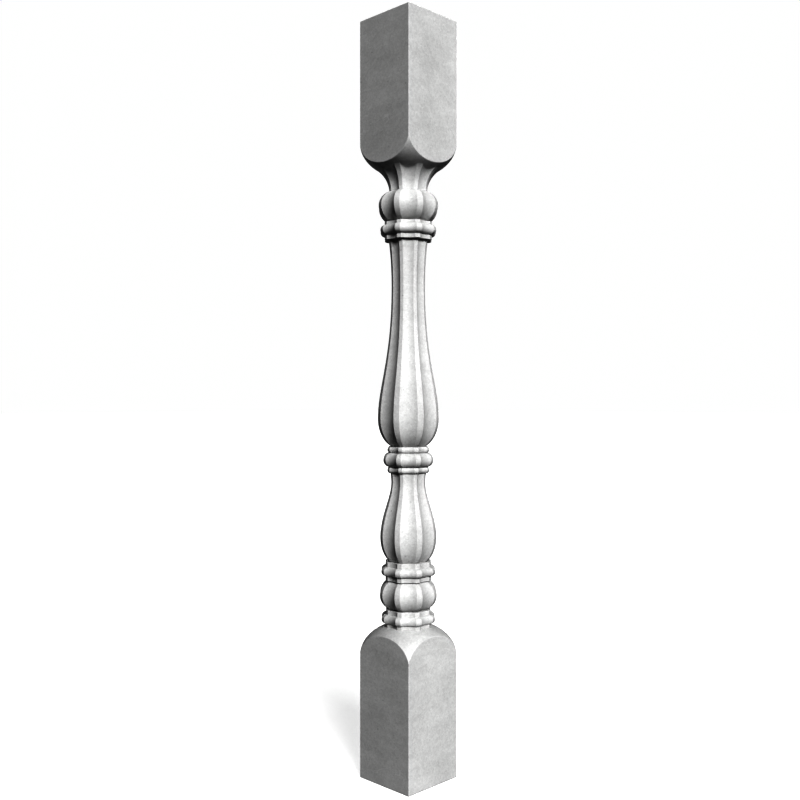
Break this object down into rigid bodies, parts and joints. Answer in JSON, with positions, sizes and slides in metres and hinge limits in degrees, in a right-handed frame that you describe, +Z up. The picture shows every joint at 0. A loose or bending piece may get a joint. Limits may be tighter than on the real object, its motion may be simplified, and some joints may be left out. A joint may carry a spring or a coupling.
{
  "type": "stone baluster",
  "caption": "Slender carved stone baluster: square blocks at head and foot, and a fluted turned shaft of beads, bulbs and vases between them.",
  "frame": {"origin": "centre of the underside, where the foot block stands", "axes": "+Z up along the baluster's axis; +X and +Y square to the faces of the two blocks"},
  "size_m": [0.0826, 0.0826, 0.9144],
  "materials": {
    "stone": "honed"
  },
  "bodies": {
    "root": {"baluster": "stone"}
  },
  "joints": []
}
